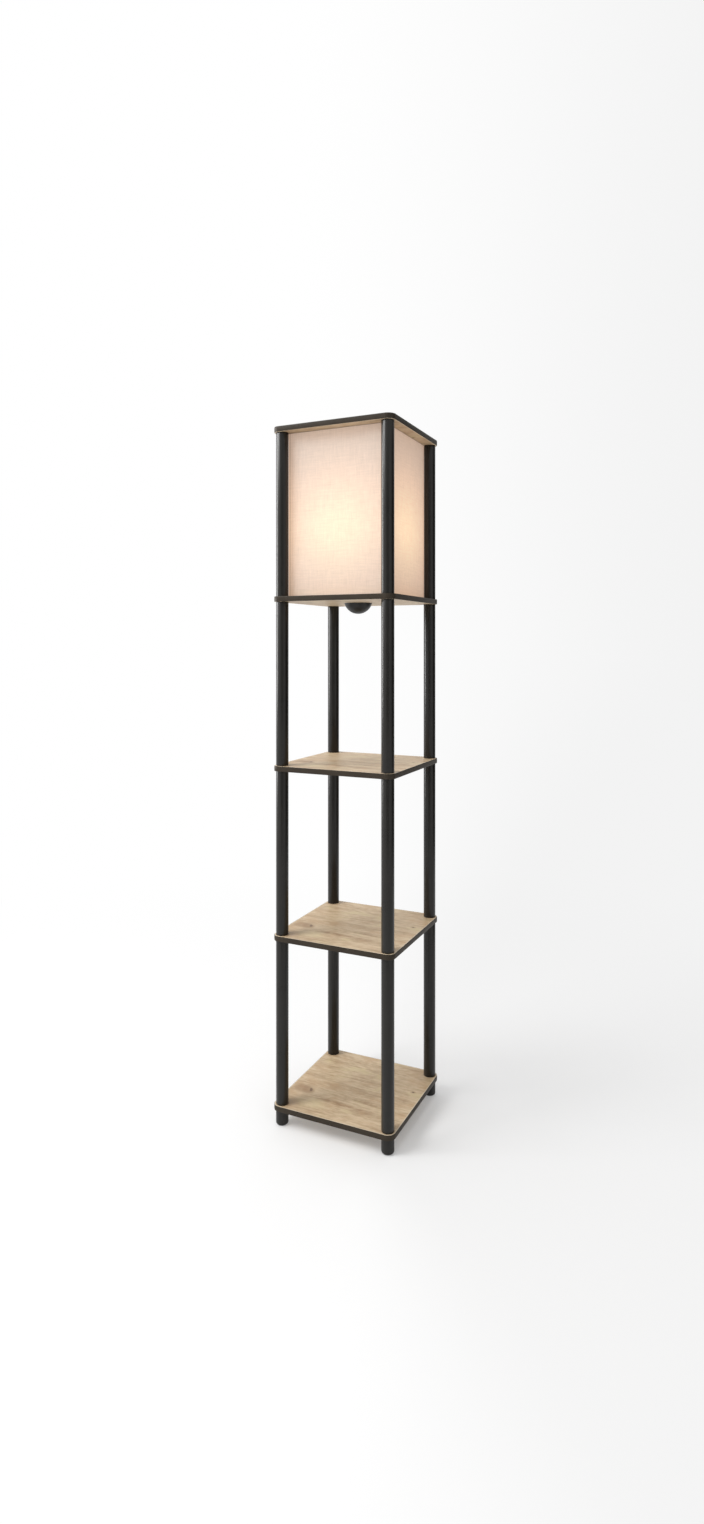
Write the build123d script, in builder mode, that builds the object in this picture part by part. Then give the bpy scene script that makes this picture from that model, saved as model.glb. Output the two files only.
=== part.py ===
from build123d import *
import os
from math import sqrt

os.makedirs("parts", exist_ok=True)

# Shelf floor lamp: five square boards on four posts of stacked tubes, four equal
# bays, the top one closed by a square fabric shade round a lamp holder and bulb.
# Origin on the floor under the middle of the lamp, +X to the right, +Y to the
# back, +Z up. All sizes in millimetres.

# --- driving dimensions ------------------------------------------------------
board_side = 300.0          # over the edge band
board_thickness = 12.0
bay_height = 376.0          # clear height between two boards
foot_height = 35.0          # floor to the underside of the base board
tube_diameter = 28.6
tube_wall = 0.8
board_overhang = 4.2        # edge band past the outside of the tubes
shade_side = 243.0          # over the fabric

# --- boards and edge bands ---------------------------------------------------
band_thickness = 0.8
band_crown = 0.4            # how far its face bulges
stud_diameter = 8.0
stud_hole_clearance = 0.4
bolt_head_diameter = 15.0
bolt_head_angle = 90.0
bolt_head_recess = 0.2
hex_key_across_flats = 5.0
hex_key_depth = 3.0

# --- tubes, feet and their fixings -------------------------------------------
plug_length = 8.0           # steel plug welded into each tube end
stud_grip = 12.0            # reach of a stud or bolt past the board
stud_length = board_thickness + stud_grip
foot_bevel_height = 4.0
foot_bevel_width = 2.6
foot_thread_depth = 14.0

# --- shade -------------------------------------------------------------------
fabric_thickness = 0.8
shade_corner_radius = 2.5
shade_top_gap = 0.4         # between the fabric and the top board
strip_width = 4.0           # steel strip of the frame inside the fabric
strip_thickness = 2.5
upright_radius = 1.6

# --- lamp holder -------------------------------------------------------------
pipe_radius = 5.0           # M10 threaded pipe, the cord's way down
pipe_bore_radius = 3.5
pipe_hole_clearance = 0.3
pipe_drop = 9.0             # pipe below the lamp floor
pipe_stand_out = 1.0        # pipe past its upper nut
neck_height = 37.0
neck_radius = 8.0
neck_flange_radius = 23.0
neck_flange_height = 3.0
neck_root_bevel = 4.0
holder_base_radius = 12.0
holder_radius = 19.0
holder_wall = 2.0
holder_floor = 4.0
cup_height = 17.0           # lower cup of the holder, below its spigot
spigot_height = 4.0
sleeve_radius = 20.0
sleeve_wall = 3.0
sleeve_height = 42.0
sleeve_mouth_radius = 14.6
sleeve_mouth_bevel = 2.0
carrier_flange_height = 6.0
carrier_boss_radius = 11.0
carrier_boss_height = 10.0
shell_outer_radius = 13.9
shell_wall = 0.5
shell_height = 26.0
shell_opening_radius = 9.0
contact_width = 6.0
contact_thickness = 0.6
contact_rise = 2.1          # how far the tongue stands above the carrier
contact_foot_gap = 1.0      # from the foot of the contact to the shell's opening
terminal_head_radius = 3.0
terminal_head_height = 2.0
terminal_shank_radius = 1.75
terminal_shank_length = 6.0
nut_across_flats = 14.0
nut_height = 3.0
washer_radius = 9.0
washer_height = 1.0

# --- bulb, heights from its tip contact --------------------------------------
bulb_height = 110.0
bulb_radius = 30.0
bulb_gap = 0.3              # between the bulb and the holder's live parts
tip_radius = 4.8
tip_height = 2.0
bead_height = 4.0           # glass bead between the tip and the cap
bead_top_radius = 11.5
cap_radius = 13.1
cap_height = 25.0
cap_taper_height = 2.0
cap_wall = 0.4
skirt_radius = 13.9
skirt_height = 3.0
seam_height = 67.0          # joint between the bulb's body and its diffuser
diffuser_wall = 1.2
led_board_radius = 22.0
led_board_height = 1.6
led_count = 8
led_size = 3.0
led_height = 0.8
led_ring_radius = 15.0

# --- dome under the lamp floor -----------------------------------------------
dome_rim_radius = 33.0
dome_depth = 25.6
dome_wall = 1.0
spider_arms = 3
spider_thickness = 1.2
spider_hub_radius = 12.0
spider_arm_width = 10.0
spider_reach = 28.6
spider_tab_height = 6.5
gland_drop = 10.0           # gland axis below the lamp floor
gland_bore_radius = 3.5
gland_neck_radius = 5.0
gland_collar_radius = 7.0
gland_inner_end = 25.0      # from the dome's axis
gland_outer_end = 36.0
gland_lip_bevel = 1.0

# --- places worked out from the sizes above ----------------------------------
tube_radius = tube_diameter / 2
corner_radius = tube_radius + board_overhang      # corners run concentric with the tubes
tube_offset = board_side / 2 - corner_radius      # tube axes from the middle
panel_side = board_side - 2 * band_thickness
board_pitch = bay_height + board_thickness
board_bottoms = {
    "base_board": foot_height,
    "lower_shelf": foot_height + board_pitch,
    "upper_shelf": foot_height + 2 * board_pitch,
    "lamp_floor": foot_height + 3 * board_pitch,
    "top_board": foot_height + 4 * board_pitch,
}
bay_floors = {
    "bottom_bay": "base_board",
    "lower_bay": "lower_shelf",
    "upper_bay": "upper_shelf",
    "lamp_bay": "lamp_floor",
}
corners = {
    "front_left": (-tube_offset, -tube_offset),
    "front_right": (tube_offset, -tube_offset),
    "back_right": (tube_offset, tube_offset),
    "back_left": (-tube_offset, tube_offset),
}
lamp_floor_bottom = board_bottoms["lamp_floor"]
lamp_floor_top = lamp_floor_bottom + board_thickness
top_board_bottom = board_bottoms["top_board"]


def save(piece, label):
    """Label a finished piece and write it as its own file."""
    piece.part.label = label
    export_step(piece.part, f"parts/{label}.step")


def at_tubes():
    """The four tube axes, as grid locations."""
    return GridLocations(2 * tube_offset, 2 * tube_offset, 2, 2)


# --- boards ------------------------------------------------------------------
def build_board(label, bottom):
    with BuildPart() as board:
        with BuildSketch(Plane.XY.offset(bottom)):
            RectangleRounded(panel_side, panel_side, corner_radius - band_thickness)
            with at_tubes():
                Circle((stud_diameter + stud_hole_clearance) / 2, mode=Mode.SUBTRACT)
            if label == "lamp_floor":
                Circle(pipe_radius + pipe_hole_clearance, mode=Mode.SUBTRACT)
        extrude(amount=board_thickness)
        if label == "top_board":
            top = board.faces().sort_by(Axis.Z)[-1].center().Z
            with Locations((0, 0, top)), at_tubes():
                CounterSinkHole(
                    radius=(stud_diameter + stud_hole_clearance) / 2,
                    counter_sink_radius=bolt_head_diameter / 2 + bolt_head_recess,
                    counter_sink_angle=bolt_head_angle,
                )
    save(board, label)


def build_edge_band(label, bottom):
    """A strip with a domed face, swept round the edge of a board."""
    inner = panel_side / 2
    half_height = board_thickness / 2
    with BuildPart() as band:
        with BuildLine(Plane.XY.offset(bottom + board_thickness / 2)) as rim:
            FilletPolyline(
                (-inner, -inner),
                (inner, -inner),
                (inner, inner),
                (-inner, inner),
                radius=corner_radius - band_thickness,
                close=True,
            )
        along = rim.line % 0
        outward = along.cross(Vector(0, 0, 1))
        with BuildSketch(Plane(origin=rim.line @ 0, x_dir=outward, z_dir=along)):
            with BuildLine():
                face = ThreePointArc(
                    (band_thickness - band_crown, -half_height),
                    (band_thickness, 0),
                    (band_thickness - band_crown, half_height),
                )
                Polyline(face @ 1, (0, half_height), (0, -half_height), face @ 0)
            make_face()
        sweep(path=rim.line)
    save(band, label)


for board_label, board_bottom in board_bottoms.items():
    build_board(board_label, board_bottom)
    build_edge_band(f"{board_label}_edge_band", board_bottom)


# --- posts -------------------------------------------------------------------
def build_tube(label, corner, bottom):
    """One length of post, with a steel plug welded into each end.

    The upper plug is threaded. The lower one carries a stud, which goes down
    through the board and into the plug of the tube or foot below.
    """
    with BuildPart() as tube:
        with BuildSketch(Plane.XY.offset(bottom)):
            with Locations(corner):
                Circle(tube_radius)
        extrude(amount=bay_height)
        with BuildSketch(Plane.XY.offset(bottom + plug_length)):
            with Locations(corner):
                Circle(tube_radius - tube_wall)
        extrude(amount=bay_height - 2 * plug_length, mode=Mode.SUBTRACT)
        with BuildSketch(Plane.XY.offset(bottom + bay_height)):
            with Locations(corner):
                Circle(stud_diameter / 2)
        extrude(amount=-plug_length, mode=Mode.SUBTRACT)
        with BuildSketch(Plane.XY.offset(bottom)):
            with Locations(corner):
                Circle(stud_diameter / 2)
        extrude(amount=-stud_length)
    save(tube, label)


def build_foot(label, corner):
    """A solid foot as thick as the post, bevelled below and threaded on top."""
    with BuildPart() as foot:
        with BuildSketch():
            with Locations(corner):
                Circle(tube_radius)
        extrude(amount=foot_height)
        sole = foot.faces().sort_by(Axis.Z)[0]
        chamfer(
            sole.edges(), length=foot_bevel_height, length2=foot_bevel_width, reference=sole
        )
        with BuildSketch(Plane.XY.offset(foot_height)):
            with Locations(corner):
                Circle(stud_diameter / 2)
        extrude(amount=-foot_thread_depth, mode=Mode.SUBTRACT)
    save(foot, label)


for corner_label, corner_place in corners.items():
    build_foot(f"foot_{corner_label}", corner_place)
    for bay_label, floor_label in bay_floors.items():
        bay_bottom = board_bottoms[floor_label] + board_thickness
        build_tube(f"{bay_label}_tube_{corner_label}", corner_place, bay_bottom)

with BuildPart() as top_bolts:
    # Flat-head bolts with a hexagon socket, down into the uppermost plugs.
    head_top = top_board_bottom + board_thickness - bolt_head_recess
    head_height = (bolt_head_diameter - stud_diameter) / 2
    with BuildSketch(Plane.XY.offset(head_top - stud_length)):
        with at_tubes():
            Circle(stud_diameter / 2)
    extrude(amount=stud_length)
    with BuildSketch(Plane.XY.offset(head_top)):
        with at_tubes():
            Circle(bolt_head_diameter / 2)
    extrude(amount=-head_height, taper=bolt_head_angle / 2)
    with BuildSketch(Plane.XY.offset(head_top)):
        with at_tubes():
            RegularPolygon(hex_key_across_flats / 2, 6, major_radius=False)
    extrude(amount=-hex_key_depth, mode=Mode.SUBTRACT)
save(top_bolts, "top_board_bolts")


# --- shade -------------------------------------------------------------------
with BuildPart() as shade_fabric:
    fabric_inner_side = shade_side - 2 * fabric_thickness
    with BuildSketch(Plane.XY.offset(lamp_floor_top)):
        RectangleRounded(shade_side, shade_side, shade_corner_radius)
        RectangleRounded(
            fabric_inner_side,
            fabric_inner_side,
            shade_corner_radius - fabric_thickness,
            mode=Mode.SUBTRACT,
        )
    extrude(amount=bay_height - shade_top_gap)
save(shade_fabric, "shade_fabric")

with BuildPart() as shade_frame:
    # A square of steel strip inside each end of the fabric, joined at the corners.
    frame_side = fabric_inner_side
    frame_corner_radius = shade_corner_radius - fabric_thickness
    strip_bottoms = [lamp_floor_top, top_board_bottom - shade_top_gap - strip_width]
    for strip_bottom in strip_bottoms:
        with BuildSketch(Plane.XY.offset(strip_bottom)):
            RectangleRounded(frame_side, frame_side, frame_corner_radius)
            Rectangle(
                frame_side - 2 * strip_thickness,
                frame_side - 2 * strip_thickness,
                mode=Mode.SUBTRACT,
            )
        extrude(amount=strip_width)
    with BuildSketch(Plane.XY.offset(lamp_floor_top)):
        inner_side = frame_side - 2 * strip_thickness
        with GridLocations(inner_side, inner_side, 2, 2):
            Circle(upright_radius)
    extrude(amount=bay_height - shade_top_gap)
save(shade_frame, "shade_frame")


# --- dome cover, its spider and the cable gland ------------------------------
# The dome is a cap of a sphere that is a little more than dome_depth in radius.
dome_radius = (dome_rim_radius**2 + dome_depth**2) / (2 * dome_depth)
dome_centre_z = lamp_floor_bottom + dome_radius - dome_depth
gland_z = lamp_floor_bottom - gland_drop

with BuildPart() as dome_cover:
    with BuildSketch(Plane.XY.offset(lamp_floor_bottom)):
        Circle(dome_rim_radius)
    extrude(amount=-dome_depth)
    with Locations((0, 0, dome_centre_z)):
        Sphere(dome_radius, mode=Mode.INTERSECT)
        Sphere(dome_radius - dome_wall, mode=Mode.SUBTRACT)
    with BuildSketch(Plane(origin=(0, 0, gland_z), z_dir=(0, 1, 0))):
        Circle(gland_neck_radius)
    extrude(amount=dome_rim_radius, mode=Mode.SUBTRACT)
save(dome_cover, "dome_cover")

with BuildPart() as dome_spider:
    with BuildSketch(Plane.XY.offset(lamp_floor_bottom)):
        Circle(spider_hub_radius)
        with PolarLocations(spider_reach / 2, spider_arms, start_angle=-90):
            Rectangle(spider_reach, spider_arm_width)
        Circle(pipe_radius + pipe_hole_clearance, mode=Mode.SUBTRACT)
    extrude(amount=-spider_thickness)
    with BuildSketch(Plane.XY.offset(lamp_floor_bottom)):
        with PolarLocations(
            spider_reach - spider_thickness / 2, spider_arms, start_angle=-90
        ):
            Rectangle(spider_thickness, spider_arm_width)
    extrude(amount=-spider_tab_height)
save(dome_spider, "dome_spider")

with BuildPart() as cable_gland:
    with BuildSketch(Plane(origin=(0, gland_inner_end, gland_z), z_dir=(0, 1, 0))):
        Circle(gland_collar_radius)
    extrude(amount=gland_outer_end - gland_inner_end)
    chamfer(cable_gland.edges().sort_by(Axis.Y)[-1], length=gland_lip_bevel)
    with Locations((0, 0, dome_centre_z)):
        Sphere(dome_radius, mode=Mode.SUBTRACT)
    with BuildSketch(Plane(origin=(0, gland_inner_end, gland_z), z_dir=(0, 1, 0))):
        Circle(gland_neck_radius)
    extrude(amount=gland_outer_end - gland_lip_bevel - gland_inner_end)
    with BuildSketch(Plane(origin=(0, gland_inner_end, gland_z), z_dir=(0, 1, 0))):
        Circle(gland_bore_radius)
    extrude(amount=gland_outer_end - gland_inner_end, mode=Mode.SUBTRACT)
save(cable_gland, "cable_gland")

# --- threaded pipe, nuts and washer ------------------------------------------
neck_top = lamp_floor_top + neck_height
washer_top = lamp_floor_bottom - spider_thickness
lower_nut_top = washer_top - washer_height
upper_nut_bottom = neck_top + holder_floor

with BuildPart() as threaded_pipe:
    pipe_bottom = lamp_floor_bottom - pipe_drop
    pipe_top = upper_nut_bottom + nut_height + pipe_stand_out
    with BuildSketch(Plane.XY.offset(pipe_bottom)):
        Circle(pipe_radius)
        Circle(pipe_bore_radius, mode=Mode.SUBTRACT)
    extrude(amount=pipe_top - pipe_bottom)
save(threaded_pipe, "threaded_pipe")

with BuildPart() as pipe_nuts:
    for nut_bottom in (lower_nut_top - nut_height, upper_nut_bottom):
        with BuildSketch(Plane.XY.offset(nut_bottom)):
            RegularPolygon(nut_across_flats / 2, 6, major_radius=False)
            Circle(pipe_radius, mode=Mode.SUBTRACT)
        extrude(amount=nut_height)
save(pipe_nuts, "pipe_nuts")

with BuildPart() as pipe_washer:
    with BuildSketch(Plane.XY.offset(lower_nut_top)):
        Circle(washer_radius)
        Circle(pipe_radius + pipe_hole_clearance, mode=Mode.SUBTRACT)
    extrude(amount=washer_height)
save(pipe_washer, "pipe_washer")

# --- lamp holder -------------------------------------------------------------
with BuildPart() as holder_neck:
    with BuildSketch(Plane.XY.offset(lamp_floor_top)):
        Circle(neck_flange_radius)
    extrude(amount=neck_flange_height)
    with BuildSketch(Plane.XY.offset(lamp_floor_top)):
        Circle(neck_radius)
    extrude(amount=neck_height)
    root = holder_neck.edges().filter_by(GeomType.CIRCLE).group_by(Axis.Z)[1].sort_by(
        SortBy.RADIUS
    )[0]
    chamfer(root, length=neck_root_bevel)
    with BuildSketch(Plane.XY.offset(lamp_floor_top)):
        Circle(pipe_radius + pipe_hole_clearance)
    extrude(amount=neck_height, mode=Mode.SUBTRACT)
save(holder_neck, "holder_neck")

cup_top = neck_top + cup_height
spigot_top = cup_top + spigot_height
spigot_radius = sleeve_radius - sleeve_wall
spigot_inner_radius = spigot_radius - holder_wall

with BuildPart() as holder_cup:
    with BuildSketch(Plane.XZ):
        with BuildLine():
            Polyline(
                (pipe_radius, neck_top),
                (holder_base_radius, neck_top),
                (holder_radius, neck_top + holder_floor + holder_wall),
                (holder_radius, cup_top),
                (spigot_radius, cup_top),
                (spigot_radius, spigot_top),
                (spigot_inner_radius, spigot_top),
                (spigot_inner_radius, neck_top + holder_floor),
                (pipe_radius, neck_top + holder_floor),
                close=True,
            )
        make_face()
    revolve(axis=Axis.Z)
save(holder_cup, "holder_cup")

carrier_top = spigot_top + carrier_flange_height
sleeve_top = cup_top + sleeve_height

with BuildPart() as holder_sleeve:
    with BuildSketch(Plane.XY.offset(cup_top)):
        Circle(sleeve_radius)
        Circle(spigot_radius, mode=Mode.SUBTRACT)
    extrude(amount=carrier_top - cup_top)
    with BuildSketch(Plane.XY.offset(carrier_top)):
        Circle(sleeve_radius)
        Circle(sleeve_mouth_radius, mode=Mode.SUBTRACT)
    extrude(amount=sleeve_top - carrier_top)
    mouth = holder_sleeve.faces().sort_by(Axis.Z)[-1]
    chamfer(mouth.outer_wire().edges(), length=sleeve_mouth_bevel)
save(holder_sleeve, "holder_sleeve")

with BuildPart() as contact_carrier:
    with BuildSketch(Plane.XY.offset(spigot_top - carrier_boss_height)):
        Circle(carrier_boss_radius)
    extrude(amount=carrier_boss_height)
    with BuildSketch(Plane.XY.offset(spigot_top)):
        Circle(spigot_radius)
    extrude(amount=carrier_flange_height)
    terminal_z = spigot_top - carrier_boss_height / 2
    with BuildSketch(Plane.YZ.offset(-carrier_boss_radius)):
        with Locations((0, terminal_z)):
            Circle(terminal_shank_radius)
    extrude(amount=2 * carrier_boss_radius, mode=Mode.SUBTRACT)
save(contact_carrier, "contact_carrier")

with BuildPart() as terminal_screws:
    for side in (-1, 1):
        head_plane = Plane(
            origin=(side * carrier_boss_radius, 0, terminal_z), z_dir=(side, 0, 0)
        )
        with BuildSketch(head_plane):
            Circle(terminal_head_radius)
        extrude(amount=terminal_head_height)
        with BuildSketch(head_plane):
            Circle(terminal_shank_radius)
        extrude(amount=-terminal_shank_length)
save(terminal_screws, "terminal_screws")

with BuildPart() as screw_shell:
    with BuildSketch(Plane.XY.offset(carrier_top)):
        Circle(shell_outer_radius)
        Circle(shell_opening_radius, mode=Mode.SUBTRACT)
    extrude(amount=shell_wall)
    with BuildSketch(Plane.XY.offset(carrier_top)):
        Circle(shell_outer_radius)
        Circle(shell_outer_radius - shell_wall, mode=Mode.SUBTRACT)
    extrude(amount=shell_height)
save(screw_shell, "screw_shell")

contact_top = carrier_top + contact_thickness + contact_rise

with BuildPart() as centre_contact:
    # A strip foot on the carrier, a ramp and a flat tongue under the bulb's tip.
    foot_start = contact_foot_gap - shell_opening_radius
    tongue_start = -tip_radius / 2
    with BuildSketch(Plane.XZ.offset(-contact_width / 2)):
        with BuildLine():
            Polyline(
                (foot_start, carrier_top),
                (-tip_radius, carrier_top),
                (tongue_start, contact_top - contact_thickness),
                (tip_radius, contact_top - contact_thickness),
                (tip_radius, contact_top),
                (tongue_start, contact_top),
                (-tip_radius - contact_thickness, carrier_top + contact_thickness),
                (foot_start, carrier_top + contact_thickness),
                close=True,
            )
        make_face()
    extrude(amount=contact_width)
save(centre_contact, "centre_contact")

# --- bulb --------------------------------------------------------------------
bulb_tip_z = contact_top + bulb_gap
cap_bottom_z = bulb_tip_z + tip_height + bead_height
cap_top_z = cap_bottom_z + cap_height - tip_height - bead_height
skirt_top_z = cap_top_z + skirt_height
seam_z = bulb_tip_z + seam_height
bulb_centre_z = bulb_tip_z + bulb_height - bulb_radius
seam_radius = sqrt(bulb_radius**2 - (bulb_centre_z - seam_z) ** 2)

with BuildPart() as bulb_tip:
    with BuildSketch(Plane.XY.offset(bulb_tip_z)):
        Circle(tip_radius)
    extrude(amount=tip_height)
    chamfer(bulb_tip.edges().sort_by(Axis.Z)[0], length=tip_height / 2)
save(bulb_tip, "bulb_tip_contact")

with BuildPart() as bulb_bead:
    with BuildSketch(Plane.XY.offset(bulb_tip_z + tip_height)):
        Circle(tip_radius)
    with BuildSketch(Plane.XY.offset(cap_bottom_z)):
        Circle(bead_top_radius)
    loft()
save(bulb_bead, "bulb_insulator")

with BuildPart() as bulb_cap:
    with BuildSketch(Plane.XZ):
        with BuildLine():
            Polyline(
                (0, cap_bottom_z),
                (bead_top_radius, cap_bottom_z),
                (cap_radius, cap_bottom_z + cap_taper_height),
                (cap_radius, cap_top_z),
                (skirt_radius, cap_top_z + (skirt_radius - cap_radius)),
                (skirt_radius, skirt_top_z),
                (skirt_radius - cap_wall, skirt_top_z),
                (skirt_radius - cap_wall, cap_top_z + (skirt_radius - cap_radius)),
                (cap_radius - cap_wall, cap_top_z),
                (cap_radius - cap_wall, cap_bottom_z + cap_taper_height),
                (bead_top_radius - cap_wall, cap_bottom_z + cap_wall),
                (0, cap_bottom_z + cap_wall),
                close=True,
            )
        make_face()
    revolve(axis=Axis.Z)
save(bulb_cap, "bulb_cap")

with BuildPart() as bulb_body:
    neck = skirt_radius - cap_wall
    seam_slope = ((bulb_centre_z - seam_z) / bulb_radius, seam_radius / bulb_radius)
    with BuildSketch(Plane.XZ):
        with BuildLine():
            Line((0, cap_top_z), (cap_radius - cap_wall, cap_top_z))
            Line(
                (cap_radius - cap_wall, cap_top_z),
                (neck, cap_top_z + (skirt_radius - cap_radius)),
            )
            Line((neck, cap_top_z + (skirt_radius - cap_radius)), (neck, skirt_top_z))
            Spline((neck, skirt_top_z), (seam_radius, seam_z), tangents=((0, 1), seam_slope))
            Line((seam_radius, seam_z), (0, seam_z))
            Line((0, seam_z), (0, cap_top_z))
        make_face()
    revolve(axis=Axis.Z)
save(bulb_body, "bulb_body")

with BuildPart() as bulb_diffuser:
    with BuildSketch(Plane.XY.offset(seam_z)):
        Circle(bulb_radius)
    extrude(amount=bulb_height)
    with Locations((0, 0, bulb_centre_z)):
        Sphere(bulb_radius, mode=Mode.INTERSECT)
        Sphere(bulb_radius - diffuser_wall, mode=Mode.SUBTRACT)
save(bulb_diffuser, "bulb_diffuser")

with BuildPart() as led_board:
    with BuildSketch(Plane.XY.offset(seam_z)):
        Circle(led_board_radius)
    extrude(amount=led_board_height)
    with BuildSketch(Plane.XY.offset(seam_z + led_board_height)):
        with PolarLocations(led_ring_radius, led_count):
            Rectangle(led_size, led_size)
    extrude(amount=led_height)
save(led_board, "led_board")
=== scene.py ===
from math import asin, atan2, ceil, cos, pi, radians, sin, sqrt

import bmesh
import bpy
from bmesh.types import BMEdge, BMVert
from mathutils import Matrix, Vector, geometry, noise


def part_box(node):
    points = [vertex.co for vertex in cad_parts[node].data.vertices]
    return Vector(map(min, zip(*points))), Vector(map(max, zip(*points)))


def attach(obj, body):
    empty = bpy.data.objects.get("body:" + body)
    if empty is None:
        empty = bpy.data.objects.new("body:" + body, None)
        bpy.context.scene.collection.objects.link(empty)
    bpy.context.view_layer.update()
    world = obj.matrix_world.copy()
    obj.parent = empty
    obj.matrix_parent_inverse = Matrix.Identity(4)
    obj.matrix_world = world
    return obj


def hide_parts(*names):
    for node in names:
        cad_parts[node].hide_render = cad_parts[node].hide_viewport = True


bl_info = {
    "name": "Shelf floor lamp",
    "version": (1, 0, 0),
    "blender": (4, 5, 0),
    "location": "3D View > Sidebar > Lamp",
    "description": "Dresses the frame of a four-bay shelf floor lamp with a lit fabric shade",
    "category": "Object",
}

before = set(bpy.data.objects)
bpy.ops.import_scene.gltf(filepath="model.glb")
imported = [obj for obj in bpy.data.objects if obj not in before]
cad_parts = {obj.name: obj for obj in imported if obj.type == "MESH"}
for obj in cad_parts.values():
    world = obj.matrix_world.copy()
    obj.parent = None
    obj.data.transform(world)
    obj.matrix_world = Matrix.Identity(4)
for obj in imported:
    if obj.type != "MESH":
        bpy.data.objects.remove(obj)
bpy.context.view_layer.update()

# Everything is in metres, in the frame's own axes: origin on the floor, +Z up.
BOARDS = ("base_board", "lower_shelf", "upper_shelf", "lamp_floor", "top_board")
BAYS = ("bottom_bay", "lower_bay", "upper_bay", "lamp_bay")
CORNERS = ("front_left", "front_right", "back_right", "back_left")
STAND, BULB = "stand", "bulb"

TUBE_LOW, TUBE_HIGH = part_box("bottom_bay_tube_front_left")
TUBE_RADIUS = (TUBE_HIGH.x - TUBE_LOW.x) / 2
TUBE_OFFSET = -(TUBE_LOW.x + TUBE_RADIUS)
BAND_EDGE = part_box("base_board_edge_band")[1].x
BOARD_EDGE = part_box("base_board")[1].x
BAND_THICKNESS = BAND_EDGE - BOARD_EDGE
CORNER_RADIUS = BAND_EDGE - TUBE_OFFSET
FABRIC_LOW, FABRIC_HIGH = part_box("shade_fabric")
DIFFUSER_LOW, DIFFUSER_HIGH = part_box("bulb_diffuser")
BULB_SEAM = DIFFUSER_LOW.z
BULB_RADIUS = DIFFUSER_HIGH.x
BULB_CENTRE = Vector((0, 0, DIFFUSER_HIGH.z - BULB_RADIUS))

# Where the middles of the two knots lie in each board's veneer.
KNOT_X, KNOT_Y = -0.098, -0.053
SMALL_KNOT_X, SMALL_KNOT_Y = 0.125, 0.038

# Faces that meet at more than this angle show an edge between them.
SHARP_ANGLE = radians(32)


class LampSizes(bpy.types.PropertyGroup):
    """Sizes of what is finer than the frame."""

    tube_end_round: bpy.props.FloatProperty(
        name="Tube end rounding", default=0.0006, unit="LENGTH",
        description="Radius at both ends of each length of post",
    )
    foot_round: bpy.props.FloatProperty(
        name="Foot rounding", default=0.0058, unit="LENGTH",
        description="Radius round the sole of each foot",
    )
    band_round: bpy.props.FloatProperty(
        name="Edge band rounding", default=0.00018, unit="LENGTH",
        description="Radius along both rims of an edge band",
    )
    hem_width: bpy.props.FloatProperty(
        name="Hem width", default=0.0038, unit="LENGTH",
        description="Height of the fold along both rims of the shade",
    )
    hem_rise: bpy.props.FloatProperty(
        name="Hem rise", default=0.0004, unit="LENGTH",
        description="How far the folded hem stands out from the fabric",
    )
    seam_width: bpy.props.FloatProperty(
        name="Seam width", default=0.009, unit="LENGTH",
        description="Overlap of the shade's fabric, in the back panel beside a post",
    )
    bulb_screw_pitch: bpy.props.FloatProperty(
        name="Bulb screw pitch", default=0.0036, unit="LENGTH",
        description="Rise of the bulb's and the holder's screw in one turn",
    )
    pipe_screw_pitch: bpy.props.FloatProperty(
        name="Pipe screw pitch", default=0.001, unit="LENGTH",
        description="Rise of the threaded pipe's screw in one turn",
    )


class LampColours(bpy.types.PropertyGroup):
    """Colours of the lamp's finishes, as linear values."""

    oak_light: bpy.props.FloatVectorProperty(
        name="Oak, light", default=(0.625, 0.490, 0.325), subtype="COLOR",
        description="Early wood of the oak boards",
    )
    oak_dark: bpy.props.FloatVectorProperty(
        name="Oak, dark", default=(0.376, 0.257, 0.146), subtype="COLOR",
        description="Late wood of the oak boards",
    )
    oak_knot: bpy.props.FloatVectorProperty(
        name="Oak, knots", default=(0.120, 0.062, 0.030), subtype="COLOR",
        description="Heart of the knots",
    )
    post_black: bpy.props.FloatVectorProperty(
        name="Post black", default=(0.0135, 0.0124, 0.0108), subtype="COLOR",
        description="Posts, feet, dome and the neck of the lamp holder",
    )
    band_black: bpy.props.FloatVectorProperty(
        name="Band black", default=(0.0430, 0.0340, 0.0250), subtype="COLOR",
        description="Edge bands of the boards",
    )
    linen: bpy.props.FloatVectorProperty(
        name="Linen", default=(0.342, 0.345, 0.336), subtype="COLOR",
        description="Shade fabric when the lamp is off",
    )
    glow_corner: bpy.props.FloatVectorProperty(
        name="Glow, far from the bulb", default=(0.345, 0.222, 0.152), subtype="COLOR",
        description="Light through the fabric in its corners",
    )
    glow_rim: bpy.props.FloatVectorProperty(
        name="Glow, half way", default=(0.600, 0.370, 0.230), subtype="COLOR",
        description="Light through the fabric half way to its corners",
    )
    glow_centre: bpy.props.FloatVectorProperty(
        name="Glow, beside the bulb", default=(0.820, 0.550, 0.315), subtype="COLOR",
        description="Light through the fabric where the bulb is nearest",
    )


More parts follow.
